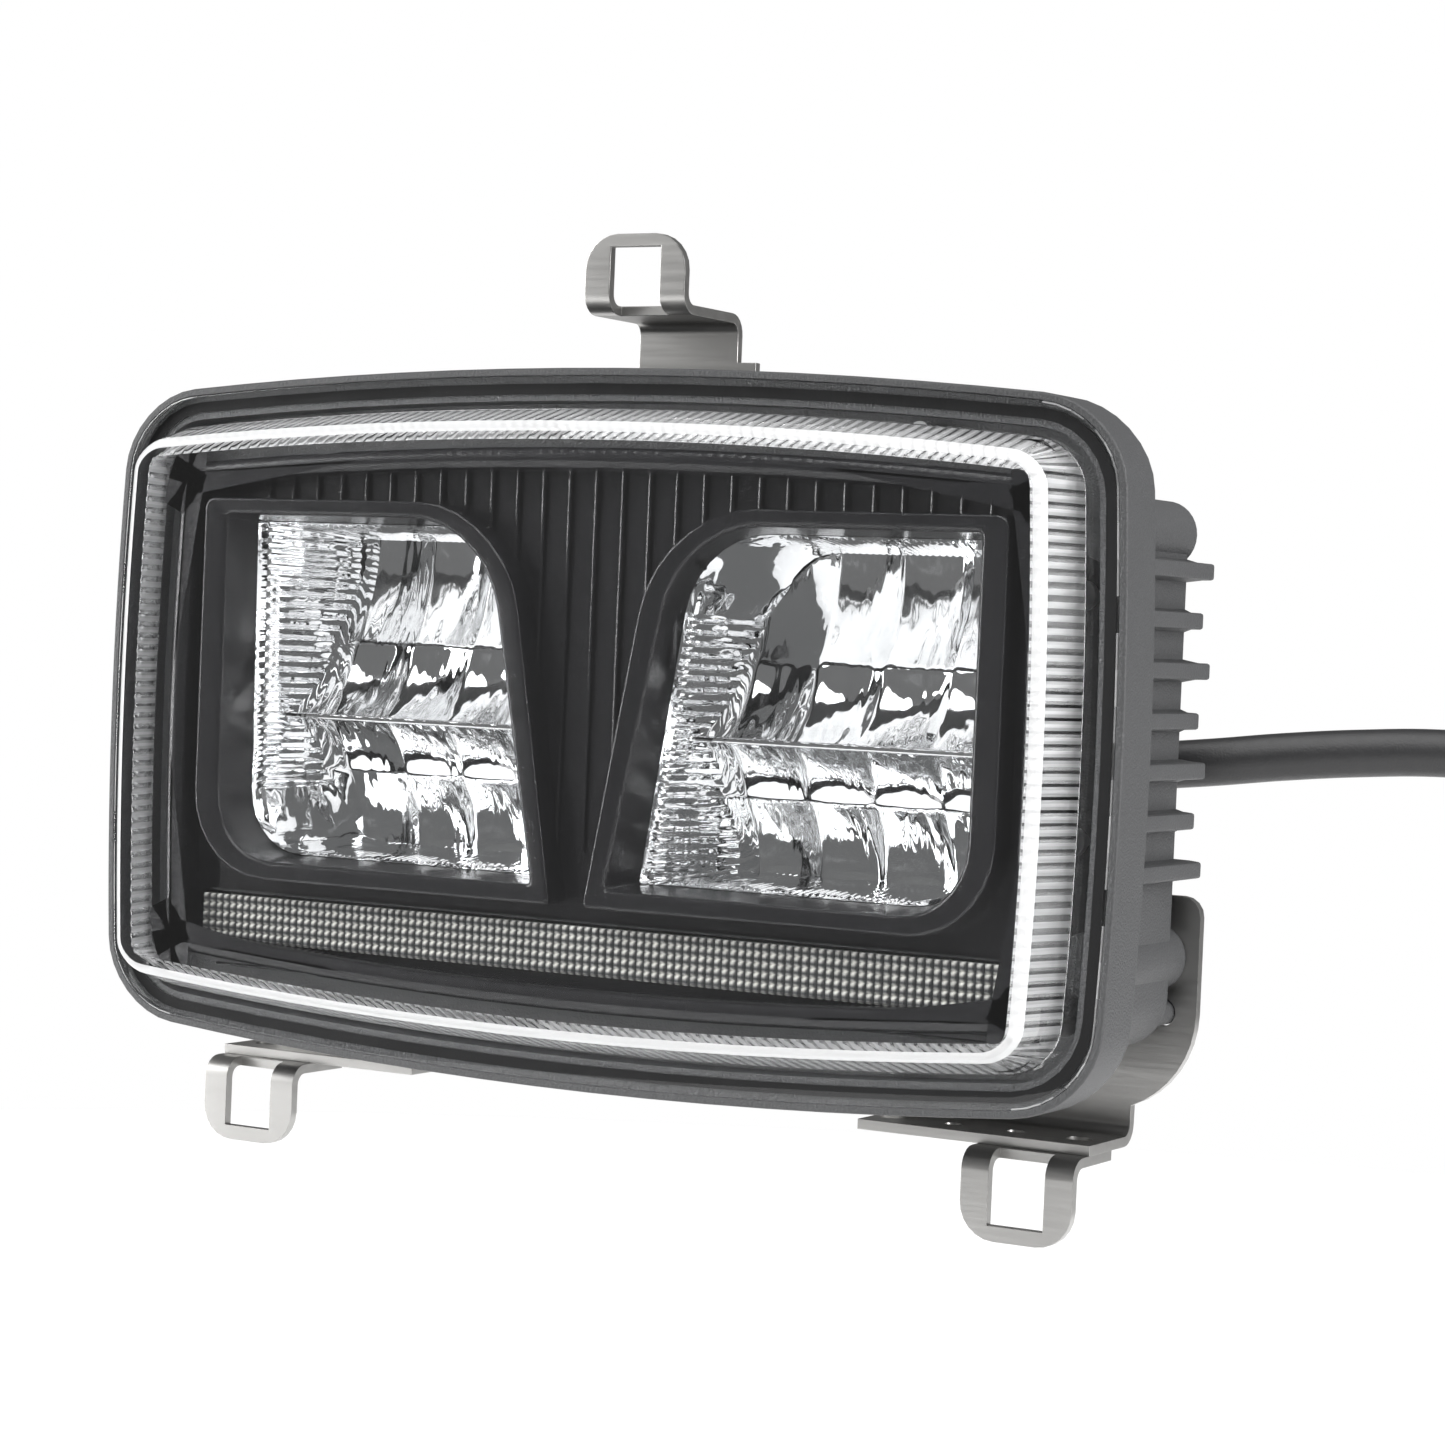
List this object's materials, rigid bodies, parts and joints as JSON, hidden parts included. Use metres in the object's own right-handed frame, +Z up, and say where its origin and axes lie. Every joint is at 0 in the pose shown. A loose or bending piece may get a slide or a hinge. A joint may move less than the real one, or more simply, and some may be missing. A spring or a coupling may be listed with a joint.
{
  "type": "fog light",
  "caption": "Rectangular twin-reflector LED fog light with a running light bar, finned cast housing, sheet metal clips and a short cable with its connector.",
  "frame": {"origin": "middle of the square hole in the top clip's tab, half way through the sheet", "axes": "+X along the lamp's long side, to the right as seen from the front; +Y to the rear, towards the heat sink; +Z up"},
  "size_m": [0.294, 0.1258, 0.3112],
  "materials": {
    "cast_housing": "black powder coat, fine texture",
    "black_moulding": "moulded",
    "clear_lens": "clear hard-coated",
    "seal_rubber": "matt",
    "black_bezel": "satin gloss",
    "screw_steel": "zinc plated",
    "mirror_coating": "vacuum metallised",
    "bare_aluminium": "machined",
    "board_white": "solder mask",
    "led_phosphor": "phosphor",
    "pad_grey": "soft",
    "clear_bar": "clear, prismatic",
    "board_green": "solder mask",
    "component_black": "moulded",
    "lead_insulation": "matt",
    "cable_jacket": "satin jacket",
    "connector_plastic": "moulded",
    "orange_seal": "silicone",
    "orange_lock": "moulded",
    "contact_metal": "tin over brass",
    "stainless_sheet": "fine brushed"
  },
  "bodies": {
    "root": {"housing": "cast_housing", "vent_plug": "black_moulding", "lens": "clear_lens", "lens_gasket": "seal_rubber", "bezel": "black_bezel", "bezel_screws": "screw_steel", "left_reflector": "mirror_coating", "right_reflector": "mirror_coating", "reflector_screws": "screw_steel", "left_heat_blades": "bare_aluminium", "right_heat_blades": "bare_aluminium", "left_led_boards": "board_white", "right_led_boards": "board_white", "left_led_chips": "led_phosphor", "right_led_chips": "led_phosphor", "thermal_pads": "pad_grey", "running_light_bar": "clear_bar", "running_light_board": "board_white", "running_light_leds": "led_phosphor", "running_light_screws": "screw_steel", "driver_board": "board_green", "driver_board_screws": "screw_steel", "driver_inductor": "component_black", "driver_capacitors": "component_black", "driver_chips": "component_black", "inner_leads": "lead_insulation", "cable_seal": "seal_rubber", "gland_nut": "black_moulding", "strain_relief": "seal_rubber", "cable": "cable_jacket", "connector_body": "connector_plastic", "connector_boot": "seal_rubber", "connector_seal": "orange_seal", "connector_terminals": "contact_metal", "top_bracket": "stainless_sheet", "left_bracket": "stainless_sheet", "right_bracket": "stainless_sheet", "left_clip": "stainless_sheet", "right_clip": "stainless_sheet", "top_bracket_screw": "screw_steel", "left_bracket_screw": "screw_steel", "right_bracket_screw": "screw_steel"},
    "latch": {"connector_latch": "connector_plastic"},
    "lock": {"connector_lock": "orange_lock"}
  },
  "joints": [
    {"name": "latch_press", "type": "hinge", "parent": "root", "child": "latch", "pos_m": [0.178, 0.0983, -0.2742], "axis": [1, 0, 0], "range_deg": [0, 9], "stiffness_Nm_per_rad": 0.02},
    {"name": "lock_slide", "type": "slide", "parent": "root", "child": "lock", "axis": [0, 0, -1], "range_m": [0, 0.003]}
  ]
}
